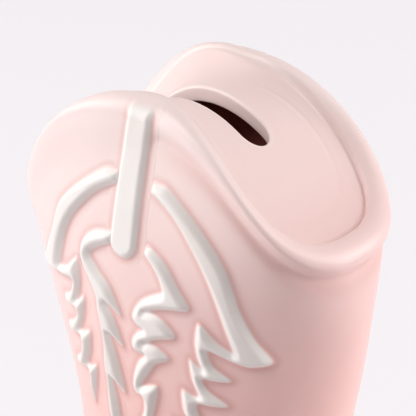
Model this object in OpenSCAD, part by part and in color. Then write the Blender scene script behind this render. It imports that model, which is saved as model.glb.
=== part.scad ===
// Cowboy-boot coin bank: a hollow, glazed ceramic boot with a closed, saddle-shaped top.
// +X points to the toe, +Z up, and the pull straps face -Y and +Y. The origin is on the floor,
// under the middle of the boot's length and width. Millimetres.

/* [Shaft] */
// Height of the boot, floor to the top of the ears
boot_h = 168; // [155:1:185]
// Length of the boot, back lip to the tip of the sole
boot_l = 148; // [140:1:158]
// Mouth, from the strap's middle to the front
mouth_front = 37.2; // [34:0.2:40]
// Mouth, from the strap's middle to the back
mouth_back = 39.3; // [36:0.1:42]
// Width across the ears
ear_w = 32.5; // [30:0.5:36]
// Width of the shaft's belly
belly_w = 46; // [42:0.5:49]
// How far the lip dips from the ears to the front
dip_front = 23.5; // [19:0.5:28]
// How far the lip dips from the ears to the back
dip_back = 37; // [30:0.5:40]
// Radius of the lip's round edge
lip_r = 3; // [2.6:0.1:3.4]
// How far the lip stands out over the wall
lip_out = 0.8; // [0.3:0.1:1]
// Thickness of the fired wall
wall = 4.2; // [3.6:0.2:5]

/* [Coin slot] */
// Length of the slot, end to end
slot_l = 31; // [28:1:36]
// Width of the slot
slot_w = 6.4; // [5:0.2:8]
// Thickness of the closing plate
plate_t = 4.4; // [4:0.2:6]
// How far the plate's edge lies below the lip
plate_step = 1.5; // [1:0.1:3]
// How far the plate sags between the ears
plate_sag = 3; // [1:0.5:4]

/* [Ankle and foot] */
// Height of the ankle's narrowest ring
ankle_h = 72; // [66:1:80]
// Ankle, from the strap's middle to the front
ankle_front = 28; // [25:0.5:31]
// Ankle, from the strap's middle to the back
ankle_back = 27; // [24:0.5:30]
// Width of the foot at the ball
foot_w = 53; // [48:1:58]
// Height of the upper behind the toe's tip
toe_h = 26; // [22:1:30]

/* [Sole and heel] */
// Thickness of the sole
sole_t = 5; // [4:0.5:7]
// How far the sole stands out past the foot
welt = 1.4; // [1:0.2:2.4]
// Height of the heel seat above the floor
heel_h = 22; // [17:1:26]
// Length of the heel block along its top
heel_l = 37; // [32:1:42]

/* [Stopper] */
// Diameter of the coin outlet in the sole
outlet_d = 27; // [24:1:30]
// Diameter of the stopper's flange
flange_d = 34; // [33:1:38]
// Thickness of the stopper's flange
flange_t = 1.6; // [1.2:0.2:2]
// How far the stopper stands up inside the foot
stopper_proud = 4; // [2:0.5:6]
// Middle of the outlet, back from the tip of the foot
outlet_back = 44; // [41:1:50]

/* [Relief] */
// Height of the raised white lines
relief_h = 1.6; // [1:0.1:2]
// Width of the pull strap
strap_w = 6; // [5:0.5:7]
// How far the pull strap reaches below the ear
strap_l = 27.5; // [25:0.5:31]

/* [Hidden] */

COLUMNS = 64;
SHAFT_ROWS = 12;
FOOT_ROWS = 26;
PLATE_ROWS = 7;
$fn = 64;

// The lip's middle at the ears, and the tip of the foot above the sole.
lip_top = boot_h - lip_r;
toe_x = boot_l / 2 - welt;

// How much of a half wave the lip's line makes between ear and dip, and how late it starts,
// each to the front and to the back.
LIP_WAVE = [1, 0.81];
LIP_LATE = [1.18, 1.38];
// The same for the line along the middle of the closing plate.
VALLEY_WAVE = 0.86;
VALLEY_LATE = 1.1;
// The shaft's section: squarish at the ears, to the front and to the back, close to an ellipse
// below the first drop, and at the belly's full width below the second.
EAR_SQUARE = [3.7, 2.7];
BELLY_SQUARE = 1.95;
SQUARE_DROP = 48;
BELLY_DROP = 60;

function mix(a, b, t) = a + (b - a) * t;
function clamp01(t) = min(1, max(0, t));
function smooth(t) = let (s = clamp01(t)) s * s * (3 - 2 * s);
function half_wave(t) = 0.5 - 0.5 * cos(180 * t);
function bezier(p, t) =
  let (u = 1 - t)
  u * u * u * p[0] + 3 * u * u * t * p[1] + 3 * u * t * t * p[2] + t * t * t * p[3];

// Half sizes of the shaft's level section at height z, from the drop below the ears.
function drop(z) = boot_h - z;
function shaft_run() = boot_h - ankle_h;
function front_at(z) = mix(mouth_front, ankle_front, smooth((drop(z) / shaft_run() - 0.36) / 0.64));
function back_at(z) = mix(mouth_back, ankle_back, smooth((drop(z) / shaft_run() - 0.3) / 0.5));
function side_at(z) = mix(belly_w, ear_w, pow(clamp01(1 - drop(z) / BELLY_DROP), 2.4)) / 2;
function squareness_at(z, end) = mix(EAR_SQUARE[end], BELLY_SQUARE, smooth(drop(z) / SQUARE_DROP));

// The shaft's reach from its middle: turn is degrees round from the near strap towards the toe.
function radius(along, across, n, turn) =
  pow(pow(abs(sin(turn)) / along, n) + pow(abs(cos(turn)) / across, n), -1 / n);
function shaft_reach(turn, z, inset) =
  let (end = sin(turn) >= 0 ? 0 : 1, along = (end == 0 ? front_at(z) : back_at(z)) - inset)
  radius(along, side_at(z) - inset, squareness_at(z, end), turn);

// The middle of the lip's edge falls in a wave from the ears to the dips.
function lip_line(away) =
  let (
    end = away > 0 ? 0 : 1,
    s = min(1, abs(away) / (end == 0 ? mouth_front : mouth_back)),
    wave = LIP_WAVE[end]
  )
  lip_top - (end == 0 ? dip_front : dip_back) * half_wave(wave * pow(s, LIP_LATE[end])) / half_wave(wave);
function lip_z(turn) =
  let (
    first = lip_line(shaft_reach(turn, lip_top - dip_front / 2, lip_r) * sin(turn)),
    second = lip_line(shaft_reach(turn, first, lip_r) * sin(turn))
  )
  lip_line(shaft_reach(turn, second, lip_r) * sin(turn));

// The straps stand where the back lip reaches the end of the boot's length.
strap_x = shaft_reach(270, lip_z(270), -lip_out) - boot_l / 2;
function shaft_point(turn, z, inset, up = 0) =
  let (r = shaft_reach(turn, z, inset))
  [strap_x + r * sin(turn), -r * cos(turn), z + up];

// The lip in section: a round edge outside, then a softer slope in to the plate's edge.
LIP_START = -36;
LIP_END = 150;
LIP_ANGLES = [LIP_START, -18, 0, 22, 45, 68, 90, 106, 122, 138, LIP_END];
function lip_point(turn, angle) =
  let (
    middle = lip_r - lip_out,
    fall = (1 - sin(angle)) / (1 - sin(LIP_END)),
    inset = angle <= 90 ? middle - lip_r * cos(angle) : mix(middle, wall, cos(angle) / cos(LIP_END)),
    up = angle <= 90 ? lip_r * sin(angle) : mix(lip_r, lip_r - plate_step, fall)
  )
  shaft_point(turn, lip_z(turn), inset, up);

function turns(count) = [for (i = [0:count - 1]) 360 * i / count];
function plate_edge_z(turn) = lip_z(turn) + lip_r - plate_step;

// Closed skins over rings of points: end rings are capped with fans unless the rings close in a loop.
function ring_faces(rows, n, loop) =
  [for (i = [0:rows - (loop ? 1 : 2)]) for (j = [0:n - 1])
    let (a = i * n, b = ((i + 1) % rows) * n, k = (j + 1) % n)
    each [[a + j, b + j, b + k], [a + j, b + k, a + k]]];
function cap_faces(rows, n) =
  [for (j = [1:n - 2]) each [[0, j, j + 1], [(rows - 1) * n, (rows - 1) * n + j + 1, (rows - 1) * n + j]]];
module skin(rings, loop = false) {
  rows = len(rings);
  n = len(rings[0]);
  polyhedron(
    points = [for (r = rings) each r],
    faces = concat(ring_faces(rows, n, loop), loop ? [] : cap_faces(rows, n))
  );
}

// Shaft: wall up the outside, over the lip, and back down the inside.
module shaft() {
  outer = [for (i = [0:SHAFT_ROWS - 1])
    [for (t = turns(COLUMNS)) shaft_point(t, mix(ankle_h, lip_z(t) - 0.8 * lip_r, i / SHAFT_ROWS), 0)]];
  lip = [for (a = LIP_ANGLES) [for (t = turns(COLUMNS)) lip_point(t, a)]];
  inner = [for (i = [0:SHAFT_ROWS - 2])
    [for (t = turns(COLUMNS))
      shaft_point(t, mix(plate_edge_z(t) - plate_t, ankle_h, i / (SHAFT_ROWS - 2)), wall)]];
  color("#f2cfcb") skin(concat(outer, lip, inner), loop = true);
}

// Closing plate: a saddle that sags along its middle, with the coin slot through it. Its edge keeps
// a hair's gap to the wall, so that their facets stay apart at the corners.
PLATE_FIT = 0.35;
function valley_z(x) =
  let (
    end = x > strap_x ? 0 : 1,
    s = clamp01(abs(x - strap_x) / ((end == 0 ? mouth_front : mouth_back) - wall)),
    fall = half_wave(VALLEY_WAVE * pow(s, VALLEY_LATE)) / half_wave(VALLEY_WAVE)
  )
  boot_h - plate_step - plate_sag - ((end == 0 ? dip_front : dip_back) - plate_sag) * fall;
function plate_point(turn, share, down) =
  let (
    z = plate_edge_z(turn),
    edge = shaft_point(turn, z - down, wall + PLATE_FIT),
    x = mix(strap_x, edge[0], share)
  )
  [x, share * edge[1], valley_z(x) + (z - valley_z(edge[0])) * pow(share, 2.5) - down];
module coin_plate() {
  shares = [for (i = [1:PLATE_ROWS]) i / PLATE_ROWS];
  under = [for (s = shares) [for (t = turns(COLUMNS)) plate_point(t, s, plate_t)]];
  top = [for (i = [PLATE_ROWS - 1:-1:0]) [for (t = turns(COLUMNS)) plate_point(t, shares[i], 0)]];
  color("#f5d8d5") difference() {
    skin(concat(under, top));
    translate([strap_x, 0, lip_top - dip_front]) linear_extrude(2 * dip_front) round_ended(slot_l, slot_w);
  }
}
module round_ended(long, broad) {
  square([long - broad, broad], center = true);
  for (side = [-1, 1]) translate([side * (long - broad) / 2, 0]) circle(d = broad);
}

// Foot: sections tilt from level at the ankle to upright at the toe, between an instep line
// and a line down the heel and under the sole, and are cut flat where they meet the sole.
INSTEP = [[strap_x + ankle_front, ankle_h], [strap_x + ankle_front + 2, ankle_h - 28],
  [toe_x - 14, toe_h], [toe_x, sole_t + 4]];
HEEL_LINE = [[strap_x - ankle_back, ankle_h], [strap_x - ankle_back - 13, heel_h + 6],
  [strap_x - ankle_back - 35, heel_h - 52], [toe_x - 3, sole_t - 3]];
// Where the ball lies on the way from ankle to toe, and where the last section lies.
BALL = 0.74;
TOE_END = 0.998;
function foot_half_w(t) =
  t < BALL ? mix(side_at(ankle_h), foot_w / 2, smooth((t - 0.25) / (BALL - 0.25)))
  : foot_w / 2 * sqrt(max(0, 1 - pow((t - BALL) / (1 - BALL), 2.2)));
function foot_n(t) = mix(BELLY_SQUARE, 2.3, smooth(t * 2));
// The heel block starts under the counter's swell. The seat stays level a little past its front,
// then the shank slopes down to the ball.
COUNTER_SWELL = 5;
SEAT_PAST_HEEL = 3;
SHANK = 44;
function heel_front_x() = strap_x - ankle_back - COUNTER_SWELL + heel_l;
function seat_z(x) = mix(heel_h, sole_t, smooth((x - heel_front_x() - SEAT_PAST_HEEL) / SHANK));
// A hair's gap between foot and sole, so that their facets stay apart on the sloping shank.
SEAM = 0.45;
// One tilted section: [axis point, direction to the instep, its half lengths to instep and sole].
function foot_section(t) =
  let (
    f = bezier(INSTEP, t),
    b = bezier(HEEL_LINE, t),
    share = mix(ankle_back / (ankle_front + ankle_back), 0.5, smooth(t * 3)),
    whole = norm(f - b)
  )
  [mix(b, f, share), (f - b) / whole, (1 - share) * whole, share * whole];
function foot_point(turn, t, inset) =
  let (
    s = foot_section(t),
    along = (sin(turn) >= 0 ? s[2] : s[3]) - inset,
    r = radius(along, foot_half_w(t) - inset, foot_n(t), turn),
    at = s[0] + s[1] * r * sin(turn)
  )
  [at[0], -r * cos(turn), max(at[1], seat_z(at[0]) + SEAM + inset)];
// Row spacing closes up towards the toe, so the toe is round.
function foot_t(i, rows, last) = last * sin(90 * i / rows);
HOLLOW_ROWS = 18;
HOLLOW_END = 0.9;
module foot() {
  outer = [for (i = [FOOT_ROWS:-1:0])
    [for (turn = turns(COLUMNS)) foot_point(turn, foot_t(i, FOOT_ROWS, TOE_END), 0)]];
  inner = [for (i = [0:HOLLOW_ROWS])
    [for (turn = turns(COLUMNS)) foot_point(turn, foot_t(i, HOLLOW_ROWS, HOLLOW_END), wall)]];
  color("#f2cfcb") difference() {
    skin(concat(outer, inner));
    translate([outlet_x, 0, 0]) cylinder(d = outlet_d, h = stopper_top + 1);
  }
}

// Where a section of the foot meets the seat: its place along the boot, and its half width there.
function seat_along(s, x) = (seat_z(x) - s[0][1]) / s[1][1];
function seat_meeting(t) =
  let (
    s = foot_section(t),
    first = s[0][0] + s[1][0] * seat_along(s, s[0][0]),
    second = s[0][0] + s[1][0] * seat_along(s, first),
    along = seat_along(s, second),
    reach = along < 0 ? s[3] : s[2],
    part = min(1, abs(along) / reach)
  )
  [s[0][0] + s[1][0] * along, foot_half_w(t) * pow(1 - pow(part, foot_n(t)), 1 / foot_n(t))];
function heel_start(t = 0.1) = bezier(HEEL_LINE, t)[1] < heel_h ? t : heel_start(t + 0.001);

// Sole: a slab under the seat with a narrow welt, level under heel and ball, sloping at the shank.
SOLE_ROWS = 34;
SOLE_T0 = heel_start();
// How far the sole's edge bulges half way down.
EDGE_BULGE = 0.3;
function sole_ring(x, half, top, under) =
  let (belly = half + EDGE_BULGE, middle = mix(top, under, 0.5))
  [[x, -half, top], [x, -belly, middle], [x, -half, under],
    [x, half, under], [x, belly, middle], [x, half, top]];
function sole_plan() =
  let (
    raw = [for (i = [0:SOLE_ROWS]) seat_meeting(mix(SOLE_T0, TOE_END, half_wave(i / SOLE_ROWS)))],
    first = raw[0][0],
    last = raw[SOLE_ROWS][0],
    stretch = (boot_l / 2 - first + welt) / (last - first)
  )
  [for (p = raw) [first - welt + (p[0] - first) * stretch, p[1] + welt * min(1, 0.25 + p[1] / 6)]];
SOLE_PLAN = sole_plan();
module sole() {
  color("#efc9c5") difference() {
    skin([for (p = SOLE_PLAN) sole_ring(p[0], p[1], seat_z(p[0]), seat_z(p[0]) - sole_t)]);
    translate([outlet_x, 0, -1]) cylinder(d = outlet_d, h = sole_t + 3);
    translate([outlet_x, 0, -1]) cylinder(d = flange_d + 2 * FLANGE_FIT, h = 1 + FLANGE_DEEP);
  }
}

// Heel: a stacked block under the seat, narrower at the floor and cut square at the front.
HEEL_TAPER = 0.8;
// How far the heel lies inside the sole's edge.
HEEL_STEP = 0.4;
module heel() {
  front = heel_front_x();
  back = [for (p = SOLE_PLAN) if (p[0] < front) p];
  breast = back[len(back) - 1][1] - 1.5 * HEEL_STEP;
  middle = front - heel_l * 0.45;
  edge = concat(
    [for (p = back) [p[0], HEEL_STEP - p[1]]],
    [[front, -breast], [front, breast]],
    [for (i = [len(back) - 1:-1:1]) [back[i][0], back[i][1] - HEEL_STEP]]
  );
  levels = [for (i = [0:4]) i / 4];
  color("#e9c0bb") skin([for (k = levels)
    let (scale_k = mix(HEEL_TAPER, 1, pow(k, 1.4)))
    [for (p = edge) [middle + (p[0] - middle) * scale_k, p[1] * scale_k, k * (heel_h - sole_t)]]]);
}

// Stopper: a rubber bung whose flange sits in a shallow recess, clear of the floor.
BUNG_FIT = 0.06;
FLANGE_FIT = 0.3;
FLOOR_GAP = 0.6;
FLANGE_DEEP = flange_t + FLOOR_GAP;
RIB = 0.5;
DENT_DEEP = 1.8;
outlet_x = toe_x - outlet_back;
stopper_top = sole_t + wall + stopper_proud;
module stopper() {
  bung_r = outlet_d / 2 - BUNG_FIT;
  color("#f4f1ec") translate([outlet_x, 0, 0]) difference() {
    rotate_extrude() polygon([
      [0, FLOOR_GAP], [flange_d / 2 - RIB, FLOOR_GAP], [flange_d / 2, FLOOR_GAP + RIB],
      [flange_d / 2, FLANGE_DEEP], [bung_r - RIB, FLANGE_DEEP],
      // Two round ribs grip the outlet, one in the sole and one in the foot's wall.
      for (rib_z = [sole_t, sole_t + wall]) each
        [[bung_r - RIB, rib_z - 2 * RIB], [bung_r, rib_z - RIB], [bung_r - RIB, rib_z]],
      [bung_r - RIB, stopper_top - 3 * RIB], [bung_r - 4 * RIB, stopper_top], [0, stopper_top]
    ]);
    // Two finger dents leave a grip bar across the flange.
    for (side = [-1, 1])
      translate([0, side * outlet_d / 4, FLOOR_GAP - 1])
        linear_extrude(1 + DENT_DEEP) round_ended(0.62 * outlet_d, 0.31 * outlet_d);
  }
}

// Relief lies on the shaft's side. A place on it is [distance from the strap, drop below the ear].
// Its bed is clear of the wall by a hair.
BED = 0.2;
FOOT_BED = 0.3;
function side_y(x, below) =
  let (
    z = lip_top - below,
    n = squareness_at(z, x >= 0 ? 0 : 1),
    along = x >= 0 ? front_at(z) : back_at(z)
  )
  side_at(z) * pow(max(0.001, 1 - pow(abs(x) / along, n)), 1 / n);
function on_side(x, below, out) =
  let (
    e = 0.1,
    slope_x = (side_y(x + e, below) - side_y(x - e, below)) / (2 * e),
    slope_z = (side_y(x, below - e) - side_y(x, below + e)) / (2 * e),
    normal = [-slope_x, 1, -slope_z] / norm([slope_x, 1, slope_z])
  )
  [strap_x + x, -side_y(x, below), lip_top - below] + out * [normal[0], -normal[1], normal[2]];

// A raised line is a ladder of rungs, each [one edge, other edge]; between rungs it is even. The
// whole pattern is drawn to the shaft's size and lifted a little towards the ear.
PATTERN_WIDE = 0.96;
PATTERN_TALL = 0.975;
PATTERN_UP = 0.8;
function on_pattern(p, way, out) = on_side(way * PATTERN_WIDE * p[0], PATTERN_TALL * p[1] - PATTERN_UP, out);
ACROSS = [0, 0.15, 0.5, 0.85, 1];
RISE = [0, 0.75, 1, 0.75, 0];
function rung_ring(rung, way) =
  let (
    height = relief_h * min(1, norm(rung[1] - rung[0]) / 2.5),
    at = [for (a = ACROSS) mix(rung[0], rung[1], a)]
  )
  concat(
    [on_pattern(at[2], way, BED)],
    [for (i = [0:4]) on_pattern(at[i], way, BED + height * RISE[i])]
  );
function halved(rungs) =
  [for (i = [0:2 * len(rungs) - 2])
    i % 2 == 0 ? rungs[i / 2] : mix(rungs[(i - 1) / 2], rungs[(i + 1) / 2], 0.5)];
module raised_line(rungs, way) {
  rings = [for (r = halved(rungs)) rung_ring(r, way)];
  color("#f4eeea") skin(way > 0 ? [for (i = [len(rings) - 1:-1:0]) rings[i]] : rings);
}
module on_left() {
  mirror([0, 1, 0]) children();
}

// Outer arch: from beside the strap out and down to a pointed foot.
OUTER_ARCH = [
  [[4, 14.3], [4.6, 12.2]], [[6, 15.3], [7.5, 12.2]], [[9, 17.1], [11, 14.2]],
  [[11.7, 19.5], [14.3, 16.6]], [[14.2, 22.5], [17.5, 19.5]], [[16.2, 25.3], [20.3, 22.8]],
  [[17.8, 28.3], [22.2, 26]], [[19.1, 31.5], [23.3, 29.8]], [[20.2, 35], [24.2, 33.6]],
  [[21.1, 38.5], [25.3, 36.9]], [[21.8, 41.2], [26.6, 40.2]], [[22.3, 43.4], [29, 45]]
];
// Outer flames: the line doubles back in barbs, each with a point up and a point out.
OUTER_FLAMES = [
  [[22.3, 43.4], [29, 45]], [[21.3, 42.8], [25.2, 46.3]], [[19.3, 41.3], [21.8, 45.3]],
  [[16, 38], [17.6, 43.6]], [[15, 42.4], [17.7, 44.9]], [[15.5, 46], [18.6, 47]],
  [[16.4, 47.9], [22, 49.8]], [[15.6, 47.5], [18.6, 50.2]], [[13.8, 46.2], [16.4, 50.1]],
  [[14.1, 50], [16.6, 51.3]], [[14.9, 52.5], [17.8, 52.8]], [[15.5, 54], [21.2, 55.5]],
  [[14.6, 54.2], [18, 56]], [[12.1, 53.3], [15.2, 55.9]], [[12.2, 57.7], [15.3, 58]],
  [[13, 59.7], [16.2, 60]], [[13.3, 61], [19, 62.3]], [[12.4, 61.2], [15.6, 62.7]],
  [[10.4, 60.3], [12.9, 62.6]], [[10.6, 64.5], [12.9, 65]], [[11.6, 69.5], [12.2, 69.7]]
];
// Inner arch: from the strap's foot down to its first point.
INNER_ARCH = [
  [[3.3, 26.4], [4.1, 25]], [[3.7, 27], [5.4, 25.2]], [[5.5, 28.6], [8, 26.8]], [[7, 30.5], [10, 28.9]],
  [[7.8, 32.2], [11.9, 31.8]], [[8, 33.5], [14.2, 35.6]]
];
// Inner flames: a line that curls to and fro beside the middle, with points on its outer side.
INNER_FLAMES = [
  [[8, 33.5], [14.2, 35.6]], [[5.7, 34.7], [8.9, 36.8]], [[3.2, 36.3], [5.6, 37.8]],
  [[1.4, 38.6], [3.9, 38.5]], [[0.8, 40.6], [4.7, 38.3]], [[1.9, 42], [6.5, 38.5]],
  [[2.8, 42.4], [8.7, 39.5]], [[3.7, 42.6], [11, 42.3]], [[2.2, 43.4], [6.6, 43.9]],
  [[0.8, 45.3], [3.7, 45.4]], [[0.9, 47.2], [4.8, 45]], [[2.4, 47.9], [7, 45.5]],
  [[3.9, 47.9], [9.6, 47.4]], [[2.3, 49.8], [6.5, 49.2]], [[1.2, 52.6], [4.5, 52.2]],
  [[0.8, 55.4], [2.8, 55]], [[1.5, 57], [4, 54.6]], [[2.8, 57.3], [6.7, 54]], [[3.4, 58.5], [6.6, 56.6]],
  [[3.2, 61], [5.6, 60.5]], [[2, 64], [4.5, 64]], [[1.3, 67], [3.3, 67.3]], [[2.1, 71.5], [2.5, 71.6]]
];

// Pull strap: up the wall from its round foot and over the lip.
STRAP_LIP = [-30, -14, 4, 22, 42, 60, 74];
function strap_half(below) =
  strap_w / 2 * sqrt(max(0.01, 1 - pow(clamp01((below - strap_l + strap_w / 2) / (strap_w / 2)), 2)));
function wall_ring(below) =
  let (half = strap_half(below), height = relief_h * (0.25 + 0.75 * half / (strap_w / 2)))
  concat(
    [on_side(0, below, BED)],
    [for (i = [0:4]) on_side((2 * ACROSS[i] - 1) * half, below, BED + height * RISE[i])]
  );
function lip_ring_point(x, angle, out) =
  let (turn = atan2(x, side_at(lip_top)), p = lip_point(turn, angle))
  p + out * [0, -cos(angle), sin(angle)];
function lip_ring(angle) =
  let (height = relief_h * min(1, (90 - angle) / 40), half = strap_w / 2)
  concat(
    [lip_ring_point(0, angle, BED)],
    [for (i = [0:4]) lip_ring_point((2 * ACROSS[i] - 1) * half, angle, BED + height * RISE[i])]
  );
module strap() {
  wall_drops = [for (i = [0:9]) mix(strap_l - 0.02, 2.6, half_wave(i / 9))];
  color("#f4eeea") skin(concat([for (d = wall_drops) wall_ring(d)], [for (a = STRAP_LIP) lip_ring(a)]));
}

// Relief on the foot is laid in [turn round the section, place from ankle to toe].
function on_foot(turn, t, out) =
  let (
    p = foot_point(turn, t, 0),
    across = foot_point(turn + 1, t, 0) - foot_point(turn - 1, t, 0),
    onward = foot_point(turn, t + 0.004, 0) - foot_point(turn, t - 0.004, 0),
    normal = cross(onward, across)
  )
  p + out * normal / norm(normal);
function foot_ring(path, i, width) =
  let (
    before = path[max(0, i - 1)],
    after = path[min(len(path) - 1, i + 1)],
    here = on_foot(path[i][0], path[i][1], 0),
    heading = on_foot(after[0], after[1], 0) - on_foot(before[0], before[1], 0),
    out_here = on_foot(path[i][0], path[i][1], 1) - here,
    sideways = cross(out_here, heading) / norm(cross(out_here, heading)),
    taper = i == 0 || i == len(path) - 1 ? 0.35 : 1,
    reach = width / 2 * taper
  )
  concat(
    [here + out_here * FOOT_BED],
    [for (k = [0:4])
      here + sideways * reach * (2 * ACROSS[k] - 1) + out_here * (FOOT_BED + relief_h * taper * RISE[k])]
  );
module foot_line(path, width) {
  color("#f4eeea") skin([for (i = [len(path) - 1:-1:0]) foot_ring(path, i, width)]);
}
FOOT_LINE_W = 2.8;
// The vamp's edge runs from the instep back and down to the sole, and the counter's in a wave.
VAMP_LINE = [for (s = [0:1 / 14:1]) [mix(88, 4, s), 0.16 + 0.3 * smooth(s) - 0.05 * sin(180 * s)]];
COUNTER_LINE = [for (s = [0:1 / 12:1]) [mix(-84, -14, s), 0.14 + 0.05 * sin(360 * s) + 0.12 * s]];
// The toe cap's edge peaks over the instep, like a wingtip.
TOE_CAP_LINE = [[87, 0.64], [80, 0.68], [72, 0.715], [64, 0.74], [56, 0.752], [47, 0.75], [38, 0.74],
  [29, 0.728], [20, 0.72], [12, 0.715]];

shaft();
coin_plate();
foot();
sole();
heel();
stopper();
strap();  // strap_right
on_left() strap();  // strap_left
raised_line(OUTER_ARCH, 1);  // outer_arch_right_front
raised_line(OUTER_ARCH, -1);  // outer_arch_right_back
on_left() raised_line(OUTER_ARCH, 1);  // outer_arch_left_front
on_left() raised_line(OUTER_ARCH, -1);  // outer_arch_left_back
raised_line(OUTER_FLAMES, 1);  // outer_flames_right_front
raised_line(OUTER_FLAMES, -1);  // outer_flames_right_back
on_left() raised_line(OUTER_FLAMES, 1);  // outer_flames_left_front
on_left() raised_line(OUTER_FLAMES, -1);  // outer_flames_left_back
raised_line(INNER_ARCH, 1);  // inner_arch_right_front
raised_line(INNER_ARCH, -1);  // inner_arch_right_back
on_left() raised_line(INNER_ARCH, 1);  // inner_arch_left_front
on_left() raised_line(INNER_ARCH, -1);  // inner_arch_left_back
raised_line(INNER_FLAMES, 1);  // inner_flames_right_front
raised_line(INNER_FLAMES, -1);  // inner_flames_right_back
on_left() raised_line(INNER_FLAMES, 1);  // inner_flames_left_front
on_left() raised_line(INNER_FLAMES, -1);  // inner_flames_left_back
foot_line(VAMP_LINE, FOOT_LINE_W);  // vamp_line_right
on_left() foot_line(VAMP_LINE, FOOT_LINE_W);  // vamp_line_left
foot_line(COUNTER_LINE, FOOT_LINE_W);  // counter_line_right
on_left() foot_line(COUNTER_LINE, FOOT_LINE_W);  // counter_line_left
foot_line(TOE_CAP_LINE, FOOT_LINE_W);  // toe_cap_line_right
on_left() foot_line(TOE_CAP_LINE, FOOT_LINE_W);  // toe_cap_line_left
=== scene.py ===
import math

import bpy
import bmesh
import numpy as np
from mathutils import Matrix, Vector


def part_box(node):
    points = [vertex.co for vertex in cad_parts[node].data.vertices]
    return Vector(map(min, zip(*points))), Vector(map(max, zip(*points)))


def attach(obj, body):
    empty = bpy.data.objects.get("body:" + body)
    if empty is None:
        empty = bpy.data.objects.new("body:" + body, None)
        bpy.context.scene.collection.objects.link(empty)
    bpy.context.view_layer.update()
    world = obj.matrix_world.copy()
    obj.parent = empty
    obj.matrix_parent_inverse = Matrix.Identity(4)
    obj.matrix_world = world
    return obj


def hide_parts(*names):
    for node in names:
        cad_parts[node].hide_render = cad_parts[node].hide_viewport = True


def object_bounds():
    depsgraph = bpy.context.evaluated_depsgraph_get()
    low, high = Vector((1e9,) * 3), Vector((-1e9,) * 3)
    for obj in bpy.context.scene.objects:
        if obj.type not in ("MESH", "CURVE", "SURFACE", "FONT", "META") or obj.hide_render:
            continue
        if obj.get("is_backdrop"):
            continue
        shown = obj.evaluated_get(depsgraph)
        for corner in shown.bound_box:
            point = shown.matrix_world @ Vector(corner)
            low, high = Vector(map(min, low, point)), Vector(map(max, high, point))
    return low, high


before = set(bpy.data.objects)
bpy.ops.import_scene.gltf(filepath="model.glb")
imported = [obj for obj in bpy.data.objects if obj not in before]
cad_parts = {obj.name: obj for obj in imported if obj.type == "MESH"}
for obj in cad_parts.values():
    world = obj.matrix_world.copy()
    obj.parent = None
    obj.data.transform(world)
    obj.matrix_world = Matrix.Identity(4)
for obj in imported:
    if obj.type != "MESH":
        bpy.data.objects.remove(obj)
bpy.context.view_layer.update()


# ---------------------------------------------------------------- cast body
# The boot itself: slip-cast earthenware, hollow, with a rolled lip, a sagging plate that
# closes the top, and a coin slot punched through the plate while the clay was soft. Shaft,
# plate and foot come out of one mould, so they are one skin under one pink glaze.

# Sizes are in millimetres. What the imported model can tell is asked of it.
def corners(node):
    low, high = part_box(node)
    return np.array(low) * 1000, np.array(high) * 1000


shaft_low, shaft_high = corners("shaft")
foot_low, foot_high = corners("foot")
_, sole_high = corners("sole")
heel_low, heel_high = corners("heel")
strap_x = float(sum(c[0] for c in corners("strap_right")) / 2)
boot_h = float(shaft_high[2])
ankle_h = float(shaft_low[2])
heel_h = float(sole_high[2])
sole_t = heel_h - float(heel_high[2])
heel_front_x = float(heel_high[0])
foot_w = float(foot_high[1] - foot_low[1])
WELT = 1.4
toe_x = float(sole_high[0]) - WELT
# Front and back are told from the line between the two pull straps.
MOUTH_FRONT, MOUTH_BACK, ANKLE_FRONT, ANKLE_BACK = 37.2, 39.3, 28.0, 27.0
DIP_FRONT, DIP_BACK = 24.3, 37.0
EAR_W, BELLY_W, TOE_H = 32.5, 46.0, 26.0
WALL, PLATE_T, SLOT_T, SLOT_L, SLOT_W = 4.2, 4.4, 3.3, 30.0, 6.4
PLATE_STEP, PLATE_SAG = 0.45, 4.05
LIP_R = 3.8
lip_top = boot_h - LIP_R


def sin(degrees):
    return np.sin(np.radians(degrees))


def cos(degrees):
    return np.cos(np.radians(degrees))


def mix(a, b, t):
    return a + (b - a) * t


def clamp(t):
    return np.clip(t, 0, 1)


def smooth(t):
    s = clamp(t)
    return s * s * (3 - 2 * s)


def half_wave(t):
    return 0.5 - 0.5 * cos(180 * t)


def bell(t):
    return np.exp(-t ** 2)


# A level section of the shaft, from its drop below the ears: it is squarish at the ears and
# close to an ellipse at the belly. "ahead" is true on the toe's side of the straps.
EAR_DEEP, SQUARE_DEEP = 60, 48
SQUARE_FRONT, SQUARE_BACK, OVAL = 3.7, 2.7, 1.95


def narrowed(z, start, over):
    return smooth(((boot_h - z) / (boot_h - ankle_h) - start) / over)


def front_at(z):
    return mix(MOUTH_FRONT, ANKLE_FRONT, narrowed(z, start=0.36, over=0.64))


def back_at(z):
    return mix(MOUTH_BACK, ANKLE_BACK, narrowed(z, start=0.3, over=0.5))


def side_at(z):
    return mix(BELLY_W, EAR_W, clamp(1 - (boot_h - z) / EAR_DEEP) ** 2.4) / 2


def squareness_at(z, ahead):
    square = np.where(ahead, SQUARE_FRONT, SQUARE_BACK)
    return mix(square, OVAL, smooth((boot_h - z) / SQUARE_DEEP))


def reach(along, across, n, turn):
    return ((np.abs(sin(turn)) / along) ** n + (np.abs(cos(turn)) / across) ** n) ** (-1 / n)


def shaft_reach(turn, z, inset):
    ahead = sin(turn) >= 0
    along = np.where(ahead, front_at(z), back_at(z)) - inset
    return reach(along, side_at(z) - inset, squareness_at(z, ahead), turn)


# The lip's line dips from the ears to both ends of the mouth, lower at the back.
def lip_line(away):
    ahead = away > 0
    s = np.minimum(1, np.abs(away) / np.where(ahead, MOUTH_FRONT, MOUTH_BACK))
    wave, late = np.where(ahead, 1.0, 0.81), np.where(ahead, 1.18, 1.38)
    dip = np.where(ahead, DIP_FRONT, DIP_BACK)
    return lip_top - dip * half_wave(wave * s ** late) / half_wave(wave)


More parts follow.
